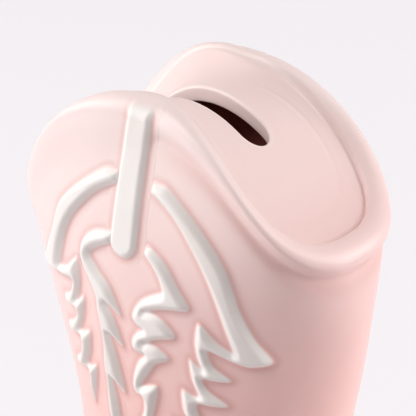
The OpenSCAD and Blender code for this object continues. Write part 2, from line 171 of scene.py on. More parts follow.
def lip_z(turn):
    z = lip_top - DIP_FRONT / 2
    for _ in range(4):
        z = lip_line(shaft_reach(turn, z, LIP_R) * sin(turn))
    return z


def shaft_point(turn, z, inset, up=0.0):
    r = shaft_reach(turn, z, inset)
    return np.stack([strap_x + r * sin(turn), -r * cos(turn), z + up + 0 * r], -1)


# The lip in section: it swells out of the wall, rolls over, and drops in a small step to the
# plate. It stands out least at the straps, and its swell is longer there and at the back. On
# the toe's side a shallow groove runs below the swell, and a fine crease beside the plate.
LIP_OUT, LIP_OUT_LOST, LOST_RUN = 0.8, 0.7, 0.3
SWELL_L, SWELL_MORE_STRAP, SWELL_MORE_BACK = 2.3, 3.2, 5.0
GROOVE_DEEP, GROOVE_W = 0.6, 2.0
LIP_IN, LIP_IN_END, LIP_IN_CORNER = 4.9, 3.9, 0.9
CREASE, CREASE_W = 0.25, 0.5


def ahead_of_strap(turn):
    return np.maximum(0, sin(turn))


def lip_out(turn):
    return LIP_OUT * (1 - LIP_OUT_LOST * bell(sin(turn) / LOST_RUN))


def lip_deep(turn):
    at_strap, at_back = smooth(1 - 4 * ahead_of_strap(turn)), smooth(-2 * sin(turn))
    return SWELL_L + SWELL_MORE_STRAP * at_strap + SWELL_MORE_BACK * at_back


def lip_swell(turn, drop):
    deep, ahead = lip_deep(turn), smooth(0.02 + 1.5 * ahead_of_strap(turn))
    groove = GROOVE_DEEP * ahead * bell((drop - deep) / GROOVE_W)
    swell = mix(smooth(1 - drop / deep), 1 - clamp(drop / deep) ** 2, ahead)
    return shaft_point(turn, lip_z(turn) - drop, groove - lip_out(turn) * swell)


def lip_roll(turn, angle):
    inset = LIP_R * (1 - cos(angle)) - lip_out(turn)
    return shaft_point(turn, lip_z(turn), inset, LIP_R * sin(angle))


def lip_in(turn):
    return mix(LIP_IN, LIP_IN_END, sin(turn) ** 2) - LIP_IN_CORNER * sin(2 * turn) ** 2


def crease(turn):
    return CREASE * smooth(0.45 + 1.5 * sin(turn))


def lip_step(turn, k):
    inset = mix(LIP_R - lip_out(turn), lip_in(turn), k ** 0.8)
    fall = (PLATE_STEP + crease(turn)) * smooth(k) ** 1.2
    return shaft_point(turn, lip_z(turn), inset, LIP_R - fall)


# The plate sags along its middle, its edge follows the lip, and a faint ring runs inside its
# front end. A place on it is a turn and a distance from its middle.
SAG_WAVE = 0.86
RING_IN, RING_W, RING_DEEP = 5.4, 0.5, 0.1


def valley_z(x):
    ahead = x > strap_x
    s = clamp(np.abs(x - strap_x) / (np.where(ahead, MOUTH_FRONT, MOUTH_BACK) - LIP_IN_END))
    fall = half_wave(SAG_WAVE * s ** 1.1) / half_wave(SAG_WAVE)
    dip = np.where(ahead, DIP_FRONT, DIP_BACK)
    return boot_h - PLATE_STEP - PLATE_SAG - (dip - PLATE_SAG) * fall


def plate_edge(turn, inset):
    z = lip_z(turn) + LIP_R - PLATE_STEP
    return shaft_reach(turn, z, inset), z


def plate_point(turn, away, down):
    edge, z = plate_edge(turn, lip_in(turn))
    lift = z - valley_z(strap_x + edge * sin(turn))
    x = strap_x + away * sin(turn)
    in_by = edge - away
    up = valley_z(x) + lift * (away / edge) ** 2.5 - crease(turn) * bell(in_by / CREASE_W)
    up = up - RING_DEEP * bell((in_by - RING_IN) / RING_W) * smooth(sin(turn) * 2 - 0.6)
    return np.stack([x, -away * cos(turn), up - down], -1)


def slot_reach(turn, grow):
    r, straight = SLOT_W / 2 + grow, (SLOT_L - SLOT_W) / 2
    s, c = np.abs(sin(turn)), np.abs(cos(turn))
    level = r / np.maximum(c, 1e-6)
    bend = straight * s + np.sqrt(np.maximum(r * r - (straight * c) ** 2, 0))
    return np.where(level * s <= straight, level, bend)


# The foot's sections tilt from level at the ankle to upright at the toe. Each spans from the
# instep's line to the heel's line, and the foot is widest at the ball.
def bezier(p, t):
    t = np.asarray(t, float)[..., None]
    u = 1 - t
    p = np.array(p, float)
    return u ** 3 * p[0] + 3 * u * u * t * p[1] + 3 * u * t * t * p[2] + t ** 3 * p[3]


INSTEP = [(strap_x + ANKLE_FRONT, ankle_h), (strap_x + ANKLE_FRONT + 2, ankle_h - 28),
          (toe_x - 14, TOE_H), (toe_x, sole_t + 4)]
HEEL_LINE = [(strap_x - ANKLE_BACK, ankle_h), (strap_x - ANKLE_BACK - 13, heel_h + 6),
             (strap_x - ANKLE_BACK - 35, heel_h - 52), (toe_x - 3, sole_t - 3)]
WIDENS, BALL, FOOT_SQUARE = 0.25, 0.74, 2.3
SHANK_FROM, SHANK_L = 3, 44


def foot_half_w(t):
    rear = mix(side_at(ankle_h), foot_w / 2, smooth((t - WIDENS) / (BALL - WIDENS)))
    past = np.maximum(0, t - BALL) / (1 - BALL)
    return np.where(t < BALL, rear, foot_w / 2 * np.sqrt(np.maximum(0, 1 - past ** 2.2)))


def seat_z(x):
    return mix(heel_h, sole_t, smooth((x - heel_front_x - SHANK_FROM) / SHANK_L))


def foot_squareness(t):
    return mix(OVAL, FOOT_SQUARE, smooth(t * 2))


def foot_section(t):
    f, b = bezier(INSTEP, t), bezier(HEEL_LINE, t)
    share = mix(ANKLE_BACK / (ANKLE_FRONT + ANKLE_BACK), 0.5, smooth(np.asarray(t) * 3))
    whole = np.linalg.norm(f - b, axis=-1)
    return (b + (f - b) * share[..., None], (f - b) / whole[..., None],
            (1 - share) * whole, share * whole)


# A place on the foot, never nearer the sole than the seam between them.
def foot_point(turn, t, inset, seam):
    turn, t = np.broadcast_arrays(np.asarray(turn, float), np.asarray(t, float))
    axis, heading, ahead, behind = foot_section(t)
    along = np.where(sin(turn) >= 0, ahead, behind) - inset
    r = reach(along, np.maximum(foot_half_w(t) - inset, 0.05), foot_squareness(t), turn)
    at = axis + heading * (r * sin(turn))[..., None]
    return np.stack([at[..., 0], -r * cos(turn),
                     np.maximum(at[..., 1], seat_z(at[..., 0]) + seam + inset)], -1)


# How far along a line each of its points is.
def run_along(line):
    return np.concatenate([[0], np.cumsum(np.linalg.norm(np.diff(line, axis=0), axis=1))])


# Columns stand at even steps round the mouth, so neither its ends nor its corners are coarse.
def even_turns(count):
    half_w, squareness = 19.0, 3.2
    fine = np.linspace(0, 360, 7201)
    r = reach((MOUTH_FRONT + MOUTH_BACK) / 2, half_w, squareness, fine)
    run = run_along(np.stack([r * sin(fine), r * cos(fine)], 1))
    return np.interp(np.arange(count) / count * run[-1], run, fine)


def placed(name, data):
    thing = bpy.data.objects.new(name, data)
    bpy.context.collection.objects.link(thing)
    return thing


# The faces between rings of points, and a closed skin over rings with a point at each end.
def bands(rings):
    n = len(rings[0])
    here, onward = np.arange(n), (np.arange(n) + 1) % n
    band = np.stack([here, onward, onward + n, here + n], 1)
    return [face for k in range(len(rings) - 1) for face in (band + k * n).tolist()]


def skin(name, rings, ends):
    n, end = len(rings[0]), len(rings[0]) * len(rings)
    steps = [(i, (i + 1) % n) for i in range(n)]
    faces = bands(rings) + [[end, j, i] for i, j in steps]
    faces += [[end + 1, end - n + i, end - n + j] for i, j in steps]
    return solid(name, np.concatenate([*rings, np.array(ends, float)]), faces)


# A mesh from millimetres, turned outward by the sign of the room it holds.
def solid(name, verts, faces):
    total = 0.0
    for size in {len(f) for f in faces}:
        f = np.array([g for g in faces if len(g) == size])
        for k in range(1, size - 1):
            a, b, c = verts[f[:, 0]], verts[f[:, k]], verts[f[:, k + 1]]
            total += float((a * np.cross(b, c)).sum())
    if total < 0:
        faces = [f[::-1] for f in faces]
    mesh = bpy.data.meshes.new(name)
    mesh.from_pydata((verts / 1000).tolist(), [], faces)
    mesh.shade_smooth()
    return placed(name, mesh)


def weigh(piece, name, values):
    kept = piece.data.attributes.new(name, "FLOAT", "POINT")
    kept.data.foreach_set("value", np.asarray(values, np.float32))


# The skin's rings run from the toe up the foot and shaft, over the lip, across the plate, down
# through the slot, and back along the inside. Marks tell the ankle's joint, the bare inside,
# which is painted dark as shade, and where the pink is darker: painted shade below the lip
# and in the slot, and a little deeper over the plate.
COLUMNS, FOOT_RINGS, SHAFT_RINGS, SWELL_RINGS, PLATE_RINGS = 320, 92, 40, 18, 42
turns = even_turns(COLUMNS)
rings = []
marks = {"ankle": [], "inner": [], "pool": []}


def lay(ring, **near):
    rings.append(ring)
    for name, values in marks.items():
        values.append(near.get(name, 0.0) + 0 * turns)


INTO_SOLE, ABOVE_SOLE, TOE_END, HOLLOW_END = -0.4, 0.45, 0.9998, 0.9
SPONGED_FOOT, SPONGED_SHAFT = 15, 12
for i in range(FOOT_RINGS, 0, -1):
    t = TOE_END * sin(90 * i / FOOT_RINGS)
    lay(foot_point(turns, t, 0, INTO_SOLE), ankle=max(0, 1 - i / SPONGED_FOOT))
deep = lip_deep(turns)
swell_l = deep + 6
for i in range(SHAFT_RINGS):
    z = mix(ankle_h, lip_z(turns) - swell_l, i / SHAFT_RINGS)
    lay(shaft_point(turns, z, 0), ankle=max(0, 1 - i / SPONGED_SHAFT))
# Below the lip's swell on the toe's side the pink is darkened as painted shade.
LIP_SHADE, LIP_SHADE_BELOW, LIP_SHADE_W, PLATE_DEEPER, SLOT_SHADE = 0.8, 1.5, 2.5, 0.34, 0.2
for k in np.linspace(1, 0, SWELL_RINGS + 1)[:-1]:
    drop = k * swell_l
    lip_shade = LIP_SHADE * smooth(1.5 * ahead_of_strap(turns)) * bell((drop - deep - LIP_SHADE_BELOW) / LIP_SHADE_W)
    lay(lip_swell(turns, drop), pool=lip_shade)
for angle in np.linspace(0, 90, 13):
    lay(lip_roll(turns, angle))
for k in np.linspace(0, 1, 9)[1:]:
    lay(lip_step(turns, k))
SLOT_ROUND, UNDER_ROUND = 0.55, 0.5
edge, _ = plate_edge(turns, lip_in(turns))
# The plate is marked a little deeper pink.
for k in range(1, PLATE_RINGS):
    away = mix(edge, slot_reach(turns, SLOT_ROUND), (k / PLATE_RINGS) ** 1.4)
    lay(plate_point(turns, away, 0), pool=PLATE_DEEPER)
for a in np.linspace(0, 90, 7):
    away = slot_reach(turns, SLOT_ROUND * (1 - sin(a)))
    lay(plate_point(turns, away, SLOT_ROUND * (1 - cos(a))))
# The slot's walls are darkened as painted shade, and below them the inside's dark painted shade
# fades in.
for down in (1.2, 2.0, SLOT_T - UNDER_ROUND):
    lay(plate_point(turns, slot_reach(turns, 0), down), pool=SLOT_SHADE)
for a in (30, 60, 90):
    away = slot_reach(turns, UNDER_ROUND * (1 - cos(a)))
    lay(plate_point(turns, away, SLOT_T - UNDER_ROUND * (1 - sin(a))), inner=a / 90)
under, _ = plate_edge(turns, WALL)
for k in range(1, 9):
    away = mix(slot_reach(turns, 0.6), under, k / 9)
    lay(plate_point(turns, away, mix(SLOT_T, PLATE_T, smooth(k / 6))), inner=1)
for i in range(18):
    z = mix(lip_z(turns) + LIP_R - PLATE_STEP - PLATE_T, ankle_h, i / 18)
    lay(shaft_point(turns, z, WALL), inner=1)
for a in np.linspace(0, 90, 28):
    lay(foot_point(turns, HOLLOW_END * sin(a), WALL, ABOVE_SOLE), inner=1)
body = skin("boot_body", rings, [rings[0].mean(0), rings[-1].mean(0)])
for name, values in marks.items():
    weigh(body, name, np.concatenate([*values, values[0][:1], values[-1][:1]]))


# One socket of a node tree. Sums of terms add Math nodes, and node() adds any other kind.
class Term:
    def __init__(self, tree, socket=None):
        self.tree, self.socket = tree, socket

    def node(self, kind, settings=None, values=None, out=None):
        made = self.tree.nodes.new(kind)
        for name, value in (settings or {}).items():
            setattr(made, name, value)
        for name, value in (values or {}).items():
            found = made.inputs[name] if isinstance(name, int) else next(
                s for s in made.inputs if s.enabled and s.name == name)
            if isinstance(value, Term):
                self.tree.links.new(value.socket, found)
            else:
                found.default_value = value
        given = next((s for s in made.outputs if s.enabled and out in (None, s.name)), None)
        return Term(self.tree, given)

    def math(self, operation, *others):
        return self.node("ShaderNodeMath", {"operation": operation},
                         dict(enumerate((self, *others))))

    def __add__(self, other):
        return self.math("ADD", other)

    def __sub__(self, other):
        return self.math("SUBTRACT", other)

    def __rsub__(self, other):
        return self * -1.0 + other

    def __mul__(self, other):
        return self.math("MULTIPLY", other)

    def __truediv__(self, other):
        return self.math("DIVIDE", other)

    def __pow__(self, other):
        return self.math("POWER", other)

    __radd__, __rmul__ = __add__, __mul__

    def between(self, low, high):
        """0 below low, 1 above high, with a soft rise between."""
        return self.node("ShaderNodeMapRange", {"interpolation_type": "SMOOTHSTEP"},
                         {"Value": self, "From Min": low, "From Max": high})

    def colours(self, first, second):
        """The first colour where this is 0, the second where it is 1."""
        return self.node("ShaderNodeMix", {"data_type": "RGBA"},
                         {"Factor": self, "A": first, "B": second})


# A tree of Geometry Nodes with named inputs, and a piece passed through it to a plain mesh.
def shape_tree(name, inputs):
    tree = bpy.data.node_groups.new(name, "GeometryNodeTree")
    for label, kind in {"Geometry": "Geometry", **inputs}.items():
        tree.interface.new_socket(name=label, in_out="INPUT", socket_type="NodeSocket" + kind)
    tree.interface.new_socket(name="Geometry", in_out="OUTPUT", socket_type="NodeSocketGeometry")
    source = tree.nodes.new("NodeGroupInput")
    return tree, {s.name: Term(tree, s) for s in source.outputs if s.name}, Term(tree)


def close_tree(term, shape, finish):
    real = term.node("GeometryNodeRealizeInstances", {}, {"Geometry": shape})
    done = term.node("GeometryNodeSetMaterial", {}, {"Geometry": real, "Material": finish})
    term.node("NodeGroupOutput", {}, {0: done})


def named(term, name, kind="FLOAT"):
    return term.node("GeometryNodeInputNamedAttribute", {"data_type": kind}, {"Name": name})


def plain_mesh(piece):
    bpy.context.view_layer.update()
    graph = bpy.context.evaluated_depsgraph_get()
    piece.data = bpy.data.meshes.new_from_object(piece.evaluated_get(graph))
    piece.modifiers.clear()


def shaped(piece, tree, settings):
    names = {s.name: s.identifier for s in tree.interface.items_tree if s.in_out == "INPUT"}
    modifier = piece.modifiers.new(tree.name, "NODES")
    modifier.node_group = tree
    for label, value in settings.items():
        modifier[names[label]] = value
    plain_mesh(piece)


# Colours are written as they look; the shader takes them in linear light.
def tint(*rgb):
    lin = [c / 3294.6 if c <= 10 else ((c / 255 + 0.055) / 1.055) ** 2.4 for c in rgb]
    return (*lin, 1.0)


def fresh_nodes(owner):
    owner.use_nodes = True
    owner.node_tree.nodes.clear()
    return Term(owner.node_tree)


# Glaze: pink, paler upward and toward the back as painted light where the left lamps fall, and
# deeper toward the toe and low down as painted shade. It is darker beside raised lines, partly as
# pooled glaze and partly as painted shade, darker below the lip and on the slot's walls as painted
# shade, and a little deeper over the plate. White where relief is painted, with faint clouding and
# a soft gloss. The clay is bare underneath and inside, and inside it is painted dark as shade.
PINK, PINK_PAINTED_LIT, PINK_POOL_SHADE = tint(239, 193, 187), tint(236, 215, 211), tint(206, 142, 134)
WHITE, WHITE_THIN = tint(233, 228, 224), tint(229, 220, 215)
# Bare clay, and inside the bank bare clay painted dark as shade.
BISQUE, BISQUE_PAINTED_SHADE = tint(233, 219, 208), tint(190, 108, 100)
LIT_UP, LIT_BACK, LIT_FROM, LIT_TO = 13.6, 5.5, 1.52, 2.45
POOL_SHADE_SHARE, GLOSS = 0.36, 0.14


def glaze(name):
    material = bpy.data.materials.new(name)
    term = fresh_nodes(material)
    place = term.node("ShaderNodeTexCoord", out="Object")
    cloud = term.node("ShaderNodeTexNoise", {}, {"Vector": place, "Scale": 34.0, "Detail": 2.0})
    ripple = term.node("ShaderNodeTexNoise", {}, {"Vector": place, "Scale": 190.0, "Detail": 1.0})
    grit = term.node("ShaderNodeTexNoise", {}, {"Vector": place, "Scale": 900.0, "Detail": 2.0})
    pool, paint, bare, inner = [term.node("ShaderNodeAttribute", {"attribute_name": a}, out="Fac")
                                for a in ("pool", "paint", "bare", "inner")]
    x, z = [term.node("ShaderNodeSeparateXYZ", {}, {"Vector": place}, axis) for axis in "XZ"]
    # Paler upward and toward the back is painted light where the left lamps fall; the deeper pink
    # toward the toe and low down is painted shade.
    painted_lit = (z * LIT_UP - x * LIT_BACK + cloud * 0.1).between(LIT_FROM, LIT_TO)
    colour = painted_lit.colours(PINK, PINK_PAINTED_LIT)
    colour = (pool * POOL_SHADE_SHARE).colours(colour, PINK_POOL_SHADE)
    colour = paint.colours(colour, cloud.between(0.3, 0.8).colours(WHITE, WHITE_THIN))
    colour = bare.colours(colour, BISQUE)
    colour = inner.colours(colour, BISQUE_PAINTED_SHADE)
    dry = bare.math("MAXIMUM", inner)
    bump = term.node("ShaderNodeBump", {}, {
        "Height": ripple + grit * (0.08 + dry * 0.5), "Strength": 0.08, "Distance": 0.0006})
    shader = term.node("ShaderNodeBsdfPrincipled", {}, {
        "Base Color": colour, "Roughness": 0.42 + cloud * 0.06 + dry * 0.4, "Normal": bump,
        "Coat Weight": GLOSS - dry * GLOSS, "Coat Roughness": 0.3})
    term.node("ShaderNodeOutputMaterial", {}, {"Surface": shader})
    return material


pink_glaze = glaze("pink_glaze")

# A wet sponge takes the hard edge off the ankle's joint.
tree, given, term = shape_tree("sponging", {"Passes": "Int", "Finish": "Material"})
soft = term.node("GeometryNodeBlurAttribute", {"data_type": "FLOAT_VECTOR"}, {
    "Value": term.node("GeometryNodeInputPosition"), "Iterations": given["Passes"],
    "Weight": named(term, "ankle")})
moved = term.node("GeometryNodeSetPosition", {}, {"Geometry": given["Geometry"], "Position": soft})
close_tree(term, moved, given["Finish"])
shaped(body, tree, {"Passes": 60, "Finish": pink_glaze})


# A round bar that stands at x, and a cut made with such bars.
def round_bar(name, x, radius, low, high, count=96):
    turn = np.arange(count) / count * 360
    ends = [np.stack([x + radius * cos(turn), radius * sin(turn), 0 * turn + z], -1)
            for z in (low, high)]
    return skin(name, ends, [(x, 0, low), (x, 0, high)])


def cut(piece, *tools):
    for tool in tools:
        modifier = piece.modifiers.new("cut", "BOOLEAN")
        modifier.operation, modifier.solver, modifier.object = "DIFFERENCE", "MANIFOLD", tool
    plain_mesh(piece)
    for tool in tools:
        bpy.data.objects.remove(tool)
    piece.data.set_sharp_from_angle(angle=math.radians(50))


stopper_low, stopper_high = corners("stopper")
outlet_x = float(stopper_low[0] + stopper_high[0]) / 2
OUTLET_D = 27.0
cut(body, round_bar("bore", outlet_x, OUTLET_D / 2, -1, float(stopper_high[2]) + 1))
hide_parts("shaft", "coin_plate", "foot")
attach(body, "boot")


# ---------------------------------------------------------------- stitched relief
# Rows of boot stitching, raised in the mould as an outer and an inner line on each quarter of
# the shaft. They are the body's own clay, brushed white, and the darker pink beside them is
# partly pooled glaze and partly painted shade.

# Each line is a ladder of rungs, [one edge, other edge], in mm from the strap and below the ear.
OUTER_LINE = [
    [[4, 14.3], [4.6, 12.2]], [[6, 15.3], [7.5, 12.2]], [[9, 17.1], [11, 14.2]],
    [[11.7, 19.5], [14.3, 16.6]], [[14.2, 22.5], [17.5, 19.5]], [[16.2, 25.3], [20.3, 22.8]],
    [[17.8, 28.3], [22.2, 26]], [[19.1, 31.5], [23.3, 29.8]], [[20.2, 35], [24.2, 33.6]],
    [[21.1, 38.5], [25.3, 36.9]], [[21.8, 41.2], [26.6, 40.2]], [[22.3, 43.4], [29, 45]],
    [[21.3, 42.8], [25.2, 46.3]], [[19.3, 41.3], [21.8, 45.3]], [[16, 38], [17.6, 43.6]],
    [[15, 42.4], [17.7, 44.9]], [[15.5, 46], [18.6, 47]], [[16.4, 47.9], [22, 49.8]],
    [[15.6, 47.5], [18.6, 50.2]], [[13.8, 46.2], [16.4, 50.1]], [[14.1, 50], [16.6, 51.3]],
    [[14.9, 52.5], [17.8, 52.8]], [[15.5, 54], [21.2, 55.5]], [[14.6, 54.2], [18, 56]],
    [[12.1, 53.3], [15.2, 55.9]], [[12.2, 57.7], [15.3, 58]], [[13, 59.7], [16.2, 60]],
    [[13.3, 61], [19, 62.3]], [[12.4, 61.2], [15.6, 62.7]], [[10.4, 60.3], [12.9, 62.6]],
    [[10.6, 64.5], [12.9, 65]], [[11.6, 69.5], [12.2, 69.7]]]
INNER_LINE = [
    [[3.3, 26.4], [4.1, 25]], [[3.7, 27], [5.4, 25.2]], [[5.5, 28.6], [8, 26.8]],
    [[7, 30.5], [10, 28.9]], [[7.8, 32.2], [11.9, 31.8]], [[8, 33.5], [14.2, 35.6]],
    [[5.7, 34.7], [8.9, 36.8]], [[3.2, 36.3], [5.6, 37.8]], [[1.4, 38.6], [3.9, 38.5]],
    [[0.8, 40.6], [4.7, 38.3]], [[1.9, 42], [6.5, 38.5]], [[2.8, 42.4], [8.7, 39.5]],
    [[3.7, 42.6], [11, 42.3]], [[2.2, 43.4], [6.6, 43.9]], [[0.8, 45.3], [3.7, 45.4]],
    [[0.9, 47.2], [4.8, 45]], [[2.4, 47.9], [7, 45.5]], [[3.9, 47.9], [9.6, 47.4]],
    [[2.3, 49.8], [6.5, 49.2]], [[1.2, 52.6], [4.5, 52.2]], [[0.8, 55.4], [2.8, 55]],
    [[1.5, 57], [4, 54.6]], [[2.8, 57.3], [6.7, 54]], [[3.4, 58.5], [6.6, 56.6]],
    [[3.2, 61], [5.6, 60.5]], [[2, 64], [4.5, 64]], [[1.3, 67], [3.3, 67.3]],
    [[2.1, 71.5], [2.5, 71.6]]]
INNER_REAR = [
    [[4.6, 22.3], [4.5, 24.5]], [[8.6, 23.1], [8.2, 26.4]], [[11.6, 25.1], [10.2, 28]],
    [[13.2, 28.2], [10, 29.2]], [[12.4, 31.3], [8, 31.1]], [[10.1, 34.4], [4.8, 33.8]],
    [[8.7, 36.9], [2, 38.9]], [[8.5, 38.9], [5.6, 37.2]], [[8, 41], [3.7, 40.2]],
    [[7.3, 43.7], [1.4, 45.4]], [[6.9, 46.1], [4.8, 43.5]], [[6.9, 49.2], [3.1, 48]],
    [[6.5, 52.6], [1.2, 55.3]], [[6.2, 55.6], [4.4, 53]], [[5.9, 59.3], [3.2, 58.3]],
    [[5.2, 63.1], [2.4, 65]], [[4.2, 66.8], [3.9, 68.7]]]
PATTERN_WIDE, PATTERN_TALL, PATTERN_UP = 0.96, 0.975, 1.6
RELIEF_H, RELIEF_HALF_W, RELIEF_FOOT = 1.4, 1.55, 0.55
SUNK, APRON, GRAIN = 0.35, 1.8, 0.24


# A place on the shaft's broad side, and the way out from it.
def side_y(x, below):
    z = lip_top - below
    ahead = x >= 0
    n = squareness_at(z, ahead)
    along = np.where(ahead, front_at(z), back_at(z))
    return side_at(z) * np.maximum(1e-3, 1 - (np.abs(x) / along) ** n) ** (1 / n)


def on_side(x, below):
    e = 0.1
    slope_x = (side_y(x + e, below) - side_y(x - e, below)) / (2 * e)
    slope_z = (side_y(x, below - e) - side_y(x, below + e)) / (2 * e)
    way = np.stack([-slope_x, -1 + 0 * x, -slope_z], -1)
    return (np.stack([strap_x + x, -side_y(x, below), lip_top - below], -1),
            way / np.linalg.norm(way, axis=-1, keepdims=True))


# A smooth curve through the points of one edge.
def eased(points, steps=6):
    p = np.array(points, float)
    p = np.concatenate([[2 * p[0] - p[1]], p, [2 * p[-1] - p[-2]]])
    t = np.arange(steps)[:, None] / steps
    out = []
    for a, b, c, d in zip(p[:-3], p[1:-2], p[2:-1], p[3:]):
        out.append(b + 0.4 * t * (c - a) + t * t * (0.8 * a - 2.6 * b + 2.2 * c - 0.4 * d)
                   + t ** 3 * (-0.4 * a + 1.6 * b - 1.6 * c + 0.4 * d))
    return np.concatenate([*out, [p[-2]]])


# True for the places that a closed path winds round.
def wound(places, path):
    a, b = path, np.roll(path, -1, 0)
    x, y = places[:, :1], places[:, 1:]
    left = (b[:, 0] - a[:, 0]) * (y - a[:, 1]) - (x - a[:, 0]) * (b[:, 1] - a[:, 1])
    up = (a[:, 1] <= y) & (b[:, 1] > y) & (left > 0)
    down = (a[:, 1] > y) & (b[:, 1] <= y) & (left < 0)
    return (up.sum(1) - down.sum(1)) != 0


# How far inside a line's outline each place lies, in mm. Where the line doubles back over
# itself, the edge that is covered doesn't count.
def inside_line(places, rungs):
    rungs = np.array(rungs, float)
    path = np.concatenate([eased(rungs[:, 0]), eased(rungs[:, 1])[::-1]])
    a, b = path, np.roll(path, -1, 0)
    run = b - a
    size = np.maximum(np.linalg.norm(run, axis=1), 1e-6)
    hair = np.stack([-run[:, 1], run[:, 0]], 1) / size[:, None] * 0.02
    bare = wound((a + b) / 2 + hair, path) != wound((a + b) / 2 - hair, path)
    a, run, size = a[bare], run[bare], size[bare]
    found = []
    for part in np.array_split(places, 24):
        gap = part[:, None] - a
        along = clamp((gap * run).sum(-1) / size ** 2)
        near = np.linalg.norm(gap - along[..., None] * run, axis=-1).min(1)
        found.append(np.where(wound(part, path), near, -near))
    return np.concatenate(found)


# The sheet of clay a line is raised from: the grid's cells near the line, laid on the wall.
def clay_sheet(name, places, ways, inside, shape, fade=1.0):
    keep = inside.reshape(shape) > -APRON
    cells = keep[:-1, :-1] & keep[1:, :-1] & keep[:-1, 1:] & keep[1:, 1:]
    i, j = np.nonzero(cells)
    at = i * shape[1] + j
    quads = np.stack([at, at + 1, at + shape[1] + 1, at + shape[1]], 1)
    used, quads = np.unique(quads, return_inverse=True)
    quads = quads.reshape(-1, 4)
    a, b, c = (places[used[quads[:, k]]] for k in range(3))
    if (np.cross(b - a, c - b) * ways[used[quads[:, 0]]]).sum() < 0:
        quads = quads[:, ::-1]
    mesh = bpy.data.meshes.new(name)
    mesh.from_pydata((places[used] / 1000).tolist(), [], quads.tolist())
    piece = placed(name, mesh)
    weigh(piece, "inside", inside[used])
    weigh(piece, "fade", (fade + 0 * inside)[used])
    way = mesh.attributes.new("way", "FLOAT_VECTOR", "POINT")
    way.data.foreach_set("vector", ways[used].astype(np.float32).ravel())
    return piece


# Raising: the sheet settles on the body, swells to a rounded line with a soft foot, takes its
# white and its darker pink band, partly pooled glaze and partly painted shade at the foot,
# from how far in each place lies, and is closed underneath.
tree, given, term = shape_tree("raised line", {
    "Body": "Object", "Height": "Float", "Half Width": "Float", "Foot": "Float",
    "Lift": "Float", "Sunk": "Float", "Finish": "Material"})
WHITE_FROM, WHITE_TO, POOL_SHADE_OUT, POOL_SHADE_W = -0.12, 0.22, 0.4, 0.75


def moved_along(shape, way, distance):
    step = term.node("ShaderNodeVectorMath", {"operation": "SCALE"}, {0: way, "Scale": distance})
    return term.node("GeometryNodeSetPosition", {}, {"Geometry": shape, "Offset": step})


def stored(shape, name, value):
    return term.node("GeometryNodeStoreNamedAttribute", {"data_type": "FLOAT", "domain": "POINT"},
                     {"Geometry": shape, "Name": name, "Value": value})


way = named(term, "way", "FLOAT_VECTOR")
inside = term.node("GeometryNodeBlurAttribute", {"data_type": "FLOAT"},
                   {"Value": named(term, "inside"), "Iterations": 3})
clay = term.node("GeometryNodeObjectInfo", {}, {"Object": given["Body"]}, out="Geometry")
near = term.node("GeometryNodeProximity", {"target_element": "FACES"}, {"Geometry": clay})
sheet = term.node("GeometryNodeSetPosition", {}, {"Geometry": given["Geometry"], "Position": near})
sheet = moved_along(sheet, way, given["Lift"])
fade = named(term, "fade")
foot = given["Foot"]
share = ((inside + foot) / (given["Half Width"] + foot)).math("MAXIMUM", 0.0)
swell = (share.math("MINIMUM", 1.0) * (math.pi / 2)).math("SINE")
raised = moved_along(sheet, way, swell * swell * given["Height"] * fade)
white = inside.between(WHITE_FROM, WHITE_TO) * fade.between(0.0, 0.7)
raised = stored(raised, "paint", white)
# The darker pink band round each line is partly pooled glaze and partly painted shade.
pool_shade_band = (((inside + POOL_SHADE_OUT) / POOL_SHADE_W) ** 2 * -1.0).math("EXPONENT")
raised = stored(raised, "pool", pool_shade_band * fade)
below = term.node("ShaderNodeVectorMath", {"operation": "SCALE"}, {0: way, "Scale": -1.0})
under = term.node("GeometryNodeExtrudeMesh", {"mode": "FACES"}, {
    "Mesh": sheet, "Offset": below, "Offset Scale": given["Sunk"], "Individual": False})
under = term.node("GeometryNodeFlipFaces", {}, {"Mesh": under})
whole = term.node("GeometryNodeJoinGeometry")
for shape in (raised, under):
    term.tree.links.new(shape.socket, whole.socket.node.inputs[0])
whole = term.node("GeometryNodeMergeByDistance", {}, {"Geometry": whole, "Distance": 2e-6})
close_tree(term, whole, given["Finish"])
raised_line = tree


def raise_line(piece, lift, height=RELIEF_H, half_width=RELIEF_HALF_W):
    shaped(piece, raised_line, {
        "Body": body, "Height": height / 1000, "Half Width": half_width, "Foot": RELIEF_FOOT,
        "Lift": lift / 1000, "Sunk": SUNK / 1000, "Finish": pink_glaze})
    piece.data.shade_smooth()
    piece.data.set_sharp_from_angle(angle=math.radians(70))
    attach(piece, "boot")


def grid(*steps):
    return [g.ravel() for g in np.meshgrid(*steps, indexing="ij")]


# The far broad side mirrors the near one.
def both_sides(places, ways):
    for side, hand in (("right", 1), ("left", -1)):
        turned = np.array([1, hand, 1])
        yield side, places * turned, ways * turned


# The hand that drew the pattern set its rear arches narrower and higher, most at their feet,
# and drew the rear inner line afresh. The rear lines lie a hair over the front ones.
LIFTS = {"front": 0.012, "back": 0.024}
REAR_WIDE, REAR_UP, REAR_UP_OUT = 0.95, 4.9, 1.6


def set_out(rungs):
    return np.array(rungs) * [PATTERN_WIDE, PATTERN_TALL] - [0, PATTERN_UP]


def drawn_up(x, drop):
    outward = smooth((x - 17) / 8) * smooth((drop - 26) / 14)
    return REAR_UP * smooth((drop - 12) / 28) + REAR_UP_OUT * outward


